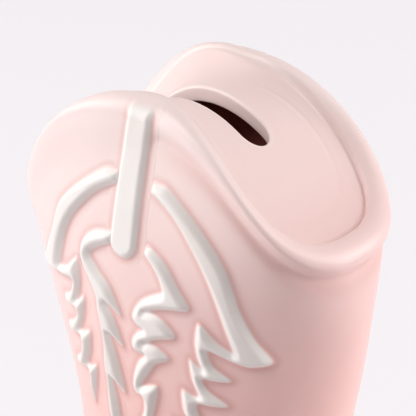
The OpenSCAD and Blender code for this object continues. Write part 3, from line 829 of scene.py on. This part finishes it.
for line, end, rungs in (("outer", "front", set_out(OUTER_LINE)),
                         ("outer", "back", set_out(OUTER_LINE)),
                         ("inner", "front", set_out(INNER_LINE)),
                         ("inner", "back", np.array(INNER_REAR))):
    edges = rungs.reshape(-1, 2)
    low, high = edges.min(0) - 2 * APRON, edges.max(0) + 2 * APRON
    xs, drops = (np.arange(a, b, GRAIN) for a, b in zip(low, high))
    x, drop = grid(xs, drops)
    inside = inside_line(np.stack([x, drop], 1), rungs)
    if (line, end) == ("outer", "back"):
        x, drop = x * REAR_WIDE, drop - drawn_up(x, drop)
    for side, at, out in both_sides(*on_side(x if end == "front" else -x, drop)):
        piece = clay_sheet(f"{line}_stitch_{side}_{end}", at, out, inside,
                           (len(xs), len(drops)))
        raise_line(piece, LIFTS[end])
        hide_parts(f"{line}_arch_{side}_{end}", f"{line}_flames_{side}_{end}")


# ---------------------------------------------------------------- pull straps
# A boot's pull strap on each broad side, modelled in clay: a flat-topped band with a round
# lower end that climbs the wall, turns over the lip and fades into its inner side.
STRAP_W, STRAP_L, STRAP_TAPER, STRAP_H, STRAP_EDGE = 6.6, 26.7, 0.45, 1.05, 1.2
STRAP_END, STRAP_GONE, STRAP_FADE, STRAP_BLUNT = 76.0, 0.3, 4.5, 1.0
STRAP_SHIFT, STRAP_LEAN, OVER_SEAM = 0.2, 1.8, 0.03


# The places at given distances along a line.
def at_runs(wanted, run, line):
    return np.stack([np.interp(wanted, run, line[:, k]) for k in range(line.shape[1])], 1)


fine = np.concatenate([
    shaft_point(0.0, np.linspace(lip_top - STRAP_L - APRON, lip_top - lip_deep(0.0), 60), 0)[:-1],
    lip_swell(0.0, np.linspace(lip_deep(0.0), 0, 16))[:-1],
    np.array([lip_roll(0.0, a) for a in np.linspace(0, STRAP_END, 40)])])[:, 1:]
run = run_along(fine)
up_run = np.arange(0, run[-1], GRAIN)
spine = at_runs(up_run, run, fine)
heading = np.gradient(spine, axis=0)
heading /= np.linalg.norm(heading, axis=1, keepdims=True)
across = np.arange(-STRAP_W / 2 - APRON, STRAP_W / 2 + APRON + GRAIN, GRAIN)
i, j = grid(np.arange(len(up_run)), np.arange(len(across)))
below = (lip_top - spine[i, 1]) / STRAP_L
lean = STRAP_SHIFT + STRAP_LEAN * clamp(below)
places = np.stack([strap_x + across[j] - lean, spine[i, 0], spine[i, 1]], 1)
ways = np.stack([0 * across[j], -heading[i, 1], heading[i, 0]], 1)
left = up_run[-1] - up_run[i]
half = STRAP_W / 2 - STRAP_TAPER * clamp(1 - below)
past_end = np.maximum(0, half - np.minimum(up_run[i] - APRON, left + STRAP_BLUNT))
inside = half - np.hypot(across[j], past_end)
for side, at, out in both_sides(places, ways):
    piece = clay_sheet(f"white_strap_{side}", at, out, inside, (len(up_run), len(across)),
                       smooth((left - STRAP_GONE) / STRAP_FADE))
    raise_line(piece, OVER_SEAM, STRAP_H, STRAP_EDGE)
    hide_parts(f"strap_{side}")


# ---------------------------------------------------------------- foot lines
# Three raised lines on each side of the foot, where a sewn boot joins its leathers: the
# vamp's edge, the heel counter's edge and the toe cap's edge. Clay, brushed white.
FOOT_LINE_W, FOOT_LINE_EDGE, MARGIN = 2.8, 1.2, 1.2
# Each path is a row of turns and distances along the foot.
s = np.linspace(0, 1, 15)
vamp = np.stack([mix(88, 4, s), 0.16 + 0.3 * smooth(s) - 0.05 * sin(180 * s)], 1)
s = np.linspace(0, 1, 13)
counter = np.stack([mix(-84, -14, s), 0.14 + 0.05 * sin(360 * s) + 0.12 * s], 1)
toe_cap = np.array([[87, 0.64], [80, 0.68], [72, 0.715], [64, 0.74], [56, 0.752], [47, 0.75],
                    [38, 0.74], [29, 0.728], [20, 0.72], [12, 0.715]])


def on_foot(path, turn=0.0, t=0.0):
    return foot_point(path[:, 0] + turn, path[:, 1] + t, 0, ABOVE_SOLE)


def out_of_foot(path):
    round_it = on_foot(path, turn=1) - on_foot(path, turn=-1)
    way = np.cross(on_foot(path, t=0.004) - on_foot(path, t=-0.004), round_it)
    return way / np.linalg.norm(way, axis=-1, keepdims=True)


for name, path in (("vamp_line", vamp), ("counter_line", counter), ("toe_cap_line", toe_cap)):
    path = eased(path, 24)
    run = run_along(on_foot(path))
    along = np.arange(0, run[-1], GRAIN * 1.2)
    path = at_runs(along, run, path)
    line, ways = on_foot(path), out_of_foot(path)
    sideways = np.cross(ways, np.gradient(line, axis=0))
    sideways /= np.linalg.norm(sideways, axis=1, keepdims=True)
    across = np.arange(-FOOT_LINE_W / 2 - MARGIN, FOOT_LINE_W / 2 + MARGIN + GRAIN, GRAIN)
    i, j = grid(np.arange(len(along)), np.arange(len(across)))
    places = line[i] + sideways[i] * across[j][:, None]
    past = FOOT_LINE_W / 2 + MARGIN - np.minimum(along, along[-1] - along)[i]
    inside = FOOT_LINE_W / 2 - np.hypot(across[j], np.maximum(0, past))
    for side, at, out in both_sides(places, ways[i]):
        piece = clay_sheet(f"white_{name}_{side}", at, out, inside, (len(along), len(across)))
        raise_line(piece, OVER_SEAM, half_width=FOOT_LINE_EDGE)
        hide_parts(f"{name}_{side}")


# ---------------------------------------------------------------- sole
# The welted sole, cast with the foot and glazed the same pink: a slab with rounded edges,
# level under the ball, sloping up the shank to the heel's seat. Its underside is wiped bare.
def seat_along(axis, heading, x):
    return (seat_z(x) - axis[:, 1]) / heading[:, 1]


# Where a section of the foot meets the sole, and half the foot's width there.
def seat_meeting(t):
    axis, heading, ahead, behind = foot_section(t)
    x = axis[:, 0]
    for _ in range(2):
        x = axis[:, 0] + heading[:, 0] * seat_along(axis, heading, x)
    along = seat_along(axis, heading, x)
    part = np.minimum(1, np.abs(along) / np.where(along < 0, behind, ahead))
    n = foot_squareness(t)
    half = foot_half_w(t) * (1 - part ** n) ** (1 / n)
    return np.stack([axis[:, 0] + heading[:, 0] * along, half], 1)


fine = np.linspace(0.1, 0.6, 5001)
sole_t0 = float(fine[np.argmax(bezier(HEEL_LINE, fine)[:, 1] < heel_h)])
SOLE_STATIONS = 110
plan = seat_meeting(mix(sole_t0, 0.998, half_wave(np.linspace(0, 1, SOLE_STATIONS))))
stretch = (float(sole_high[0]) - plan[0, 0] + WELT) / (plan[-1, 0] - plan[0, 0])
plan = np.stack([plan[0, 0] - WELT + (plan[:, 0] - plan[0, 0]) * stretch,
                 plan[:, 1] + WELT * np.minimum(1, 0.25 + plan[:, 1] / 6)], 1)


# An outline all the way round, with round corners at its blunt ends, drawn in by an inset.
def outline(half_plan, count):
    ring = np.concatenate([half_plan * [1, -1], half_plan[::-1], half_plan[:1] * [1, -1]])
    run = run_along(ring)
    ring = at_runs(np.arange(count) / count * run[-1], run, ring)
    for _ in range(6):
        ring = ring * 0.5 + (np.roll(ring, 1, 0) + np.roll(ring, -1, 0)) * 0.25
    return ring


def drawn_in(ring, inset):
    heading = np.roll(ring, -2, 0) - np.roll(ring, 2, 0)
    heading /= np.linalg.norm(heading, axis=1, keepdims=True)
    return ring + np.stack([-heading[:, 1], heading[:, 0]], 1) * inset


# A slab that follows the seat of the foot: rings over its rounded edge, then across its upper
# and lower faces to a line along the middle.
def slab(name, ring, thick, edge_round, bulge, rings_in=7):
    def level(edge, down):
        return np.column_stack([edge, seat_z(edge[:, 0]) - down])

    turns_over = [(drawn_in(ring, edge_round * (1 - cos(a))), edge_round * (1 - sin(a)))
                  for a in range(90, -1, -15)]
    wall = [level(drawn_in(ring, -bulge * sin(180 * k)), mix(edge_round, thick - edge_round, k))
            for k in np.linspace(0.15, 0.85, 5)]
    flat = turns_over[0][0]
    narrower = [flat * [1, k] for k in np.linspace(0.02, 1, rings_in)[:-1]]
    rings = [level(edge, 0) for edge in narrower] + [level(edge, d) for edge, d in turns_over]
    rings += wall + [level(edge, thick - d) for edge, d in turns_over[::-1]]
    rings += [level(edge, thick) for edge in narrower[::-1]]
    n, last_ring = len(ring), (len(rings) - 1) * len(ring)
    faces = bands(rings)
    for k in range(n // 2 - 1):
        quad = [k, k + 1, n - 2 - k, n - 1 - k]
        faces += [quad[::-1], [corner + last_ring for corner in quad]]
    piece = solid(name, np.concatenate(rings), faces)
    shape = bmesh.new()
    shape.from_mesh(piece.data)
    bmesh.ops.remove_doubles(shape, verts=shape.verts, dist=1e-6)
    bmesh.ops.recalc_face_normals(shape, faces=shape.faces)
    shape.to_mesh(piece.data)
    shape.free()
    return piece


sole = slab("sole_slab", outline(plan, 420), sole_t, edge_round=1.3, bulge=0.25)
FLANGE_D, FLANGE_T, FLANGE_FIT, FLOOR_GAP = 34.0, 1.6, 0.3, 0.6
FLANGE_DEEP = FLANGE_T + FLOOR_GAP
RECESS_R = FLANGE_D / 2 + FLANGE_FIT
cut(sole, round_bar("bore", outlet_x, OUTLET_D / 2, -1, sole_t + 3),
    round_bar("recess", outlet_x, RECESS_R, -1, FLANGE_DEEP))


# The clay is bare where it stands in the kiln and where the outlet is cut.
def wiped(piece, height):
    spots = np.zeros(len(piece.data.vertices) * 3, np.float32)
    piece.data.vertices.foreach_get("co", spots)
    spots = spots.reshape(-1, 3) * 1000
    in_outlet = np.hypot(spots[:, 0] - outlet_x, spots[:, 1]) < RECESS_R + 0.05
    weigh(piece, "bare", np.maximum(spots[:, 2] < height, in_outlet & (spots[:, 2] < sole_t)))
    piece.data.materials.clear()
    piece.data.materials.append(pink_glaze)
    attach(piece, "boot")


wiped(sole, height=0.35)
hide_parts("sole")


# ---------------------------------------------------------------- heel
# The underslung heel, cast with the sole to look like stacked lifts of leather: it tapers to
# the floor, its front is cut square, and fine grooves run round it between the lifts.
HEEL_TAPER, HEEL_STEP, HEEL_ROUND = 0.8, 0.4, 0.8
LIFTS_IN_HEEL, SEAM_DEEP, SEAM_W = 4, 0.28, 0.22
heel_l = heel_front_x - float(heel_low[0])
heel_middle = heel_front_x - 0.45 * (heel_l - WELT)
rear = plan[plan[:, 0] < heel_front_x]
rear = np.column_stack([rear[:, 0], np.maximum(0.05, rear[:, 1] - HEEL_STEP)])
breast = float(rear[-1, 1]) - 0.5 * HEEL_STEP
rear = np.concatenate([rear, [[heel_front_x, breast]], [[heel_front_x, breast * 0.5]]])
heel_ring = outline(rear, 320)
rings = []
tall = heel_h - sole_t
lift = tall / LIFTS_IN_HEEL
levels = np.concatenate([HEEL_ROUND * (1 - cos(np.linspace(0, 90, 6)))[1:],
                         np.linspace(HEEL_ROUND, tall - 0.02, 90)])
for z in levels:
    scale = mix(HEEL_TAPER, 1, (z / tall) ** 1.4)
    edge = (heel_ring - [heel_middle, 0]) * scale + [heel_middle, 0]
    inset = HEEL_ROUND - math.sqrt(max(0, HEEL_ROUND ** 2 - max(0, HEEL_ROUND - z) ** 2))
    seam = round(z / lift)
    if 0 < seam < LIFTS_IN_HEEL:
        inset += SEAM_DEEP * bell((z - seam * lift) / SEAM_W)
    rings.append(np.column_stack([drawn_in(edge, inset), np.full(len(edge), z)]))
base = rings[0].copy()
base[:, 2] = 0
middle = [heel_middle, 0, 0]
rings = [np.array(middle) + (base - middle) * k for k in (0.3, 0.6, 0.9, 0.97)] + rings
heel = skin("stacked_heel", rings, [middle, (heel_middle, 0, float(levels[-1]))])
heel.data.set_sharp_from_angle(angle=math.radians(50))
wiped(heel, height=0.05)
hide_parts("heel")


# ---------------------------------------------------------------- stopper
# A soft rubber bung, moulded in one, that closes the outlet under the ball of the foot. Two
# ribs grip the hole, a flange seats in the sole's recess, and two dents leave a bar to pull.
BUNG_FIT, TOP_ROUND, FLANGE_EDGE, CENTRE = 0.06, 1.4, 0.25, 0.6
RIB, RIB_HALF_W, RIB_FOOT = 0.5, 0.544, 0.68
DENT_L, DENT_W, DENT_DEEP, DENT_EDGE = 0.62 * OUTLET_D, 0.31 * OUTLET_D, 1.8, 1.1
stopper_top = float(stopper_high[2])
neck_r = OUTLET_D / 2 - BUNG_FIT - RIB
profile = []


# The bung's half section, from the middle of its underside to the middle of its top.
def turned_to(r, z):
    profile.append((float(r), float(z)))


def rounded(r, z, wide, tall, start, stop, steps):
    for a in np.linspace(start, stop, steps):
        turned_to(r + wide * cos(a), z + tall * sin(a))


for r in np.linspace(CENTRE, FLANGE_D / 2 - RIB - 0.5, 44):
    turned_to(r, FLOOR_GAP)
rounded(FLANGE_D / 2 - RIB, FLOOR_GAP + RIB, RIB, RIB, -90, 0, 5)
rounded(FLANGE_D / 2 - FLANGE_EDGE, FLANGE_DEEP - FLANGE_EDGE, FLANGE_EDGE, FLANGE_EDGE, 0, 90, 5)
turned_to(neck_r, FLANGE_DEEP)
for z in (sole_t - RIB, foot_low[2] - ABOVE_SOLE + WALL - RIB):
    turned_to(neck_r, z - RIB_FOOT)
    rounded(neck_r, z, RIB, RIB_HALF_W, -80, 80, 9)
turned_to(neck_r, stopper_top - 3 * RIB)
rounded(neck_r - TOP_ROUND, stopper_top - TOP_ROUND, TOP_ROUND, TOP_ROUND, 0, 90, 7)
for r in np.linspace(neck_r + RIB - 3, CENTRE, 10):
    turned_to(r, stopper_top)
turn = np.arange(240) / 240 * 360
rings = []
for r, z in profile:
    ring = np.stack([outlet_x + r * cos(turn), r * sin(turn), z + 0 * turn], -1)
    if z <= FLOOR_GAP + 1e-6:
        gap = np.abs(ring[:, 1]) - OUTLET_D / 4
        beyond = np.maximum(0, np.abs(ring[:, 0] - outlet_x) - (DENT_L - DENT_W) / 2)
        ring[:, 2] += DENT_DEEP * smooth((DENT_W / 2 - np.hypot(beyond, gap)) / DENT_EDGE)
    rings.append(ring)
stopper = skin("bung", rings, [(outlet_x, 0, FLOOR_GAP), (outlet_x, 0, stopper_top)])
stopper.data.set_sharp_from_angle(angle=math.radians(60))
RUBBER, RUBBER_DULL = tint(226, 222, 214), tint(214, 209, 200)
rubber = bpy.data.materials.new("stopper_rubber")
term = fresh_nodes(rubber)
place = term.node("ShaderNodeTexCoord", out="Object")
haze = term.node("ShaderNodeTexNoise", {}, {"Vector": place, "Scale": 120.0, "Detail": 3.0})
grain = term.node("ShaderNodeTexNoise", {}, {"Vector": place, "Scale": 2200.0, "Detail": 2.0})
bump = term.node("ShaderNodeBump", {}, {"Height": grain, "Strength": 0.12, "Distance": 0.0002})
shader = term.node("ShaderNodeBsdfPrincipled", {}, {
    "Base Color": haze.between(0.35, 0.7).colours(RUBBER, RUBBER_DULL),
    "Roughness": 0.52 + haze * 0.12, "Normal": bump})
term.node("ShaderNodeOutputMaterial", {}, {"Surface": shader})
stopper.data.materials.append(rubber)
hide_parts("stopper")
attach(stopper, "stopper")


# ---------------------------------------------------------------- studio
# A plain pale floor and backdrop, a low and a high soft lamp on the left, two more behind on
# the right, and a long-lensed camera that looks down on the mouth from the toe side.
def seen_directly(term):
    path = [term.node("ShaderNodeLightPath", out=f"Is {kind} Ray")
            for kind in ("Camera", "Glossy", "Transmission")]
    return path[0].math("MAXIMUM", path[1]).math("MAXIMUM", path[2])


FLOOR, GLOW, HALF = tint(249, 244, 247), 0.82, 4.0
sheet = bpy.data.meshes.new("floor")
sheet.from_pydata([(-HALF, -HALF, 0), (HALF, -HALF, 0), (HALF, HALF, 0), (-HALF, HALF, 0)], [],
                  [(0, 1, 2, 3)])
floor = placed("floor", sheet)
paper = bpy.data.materials.new("floor_paper")
term = fresh_nodes(paper)
glow = term.node("ShaderNodeEmission", {}, {"Color": FLOOR, "Strength": 1.0})
dull = term.node("ShaderNodeBsdfDiffuse", {}, {"Color": FLOOR})
lit = term.node("ShaderNodeMixShader", {}, {0: seen_directly(term) * GLOW, 1: dull, 2: glow})
behind = term.node("ShaderNodeNewGeometry", out="Backfacing")
clear = term.node("ShaderNodeBsdfTransparent")
both = term.node("ShaderNodeMixShader", {}, {0: behind, 1: lit, 2: clear})
term.node("ShaderNodeOutputMaterial", {}, {"Surface": both})
sheet.materials.append(paper)
floor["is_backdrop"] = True

world = bpy.data.worlds.new("studio")
bpy.context.scene.world = world
term = fresh_nodes(world)
air = term.node("ShaderNodeBackground", {}, {"Color": (1.0, 0.985, 0.98, 1.0), "Strength": 0.06})
wall = term.node("ShaderNodeBackground", {}, {"Color": tint(246, 241, 243), "Strength": 1.0})
sky = term.node("ShaderNodeMixShader", {}, {0: seen_directly(term), 1: air, 2: wall})
term.node("ShaderNodeOutputWorld", {}, {"Surface": sky})

# Camera and lamps all aim at this place, just below the plate.
aim = Vector((strap_x + 0.85, 0.04, boot_h - 27.9)) / 1000


def towards(azimuth, elevation):
    return Vector((float(sin(azimuth) * cos(elevation)), float(-cos(azimuth) * cos(elevation)),
                   float(sin(elevation))))


LAMP_AWAY, LAMP_SIZE = 1.3, 0.8
LAMPS = (("left_low", -58, 14, 9.5), ("left_high", -26, 52, 11.4),
         ("right_low", 128, 12, 12.6), ("right_high", 118, 45, 3.4))
for name, azimuth, elevation, power in LAMPS:
    light = bpy.data.lights.new(name, "AREA")
    light.shape, light.size, light.energy = "DISK", LAMP_SIZE, power
    stand = placed(name, light)
    stand.location = aim + towards(azimuth, elevation) * LAMP_AWAY
    stand.rotation_euler = towards(azimuth, elevation).to_track_quat("Z", "Y").to_euler()

AZIMUTH, ELEVATION, ROLL, AWAY = 39.61, 25.95, -1.15, 0.4616
back = towards(AZIMUTH, ELEVATION)
level = Vector((float(cos(AZIMUTH)), float(sin(AZIMUTH)), 0.0))
upright = back.cross(level)
right = level * float(cos(ROLL)) + upright * float(sin(ROLL))
up = upright * float(cos(ROLL)) - level * float(sin(ROLL))
lens = bpy.data.cameras.new("camera")
lens.lens, lens.sensor_width = 208, 36
lens.clip_start, lens.clip_end = 0.01, 20
camera = placed("camera", lens)
camera.matrix_world = Matrix((right, up, back)).transposed().to_4x4()
camera.location = aim + back * AWAY
bpy.context.scene.camera = camera
bpy.context.scene.view_settings.view_transform = "Standard"

low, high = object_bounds()
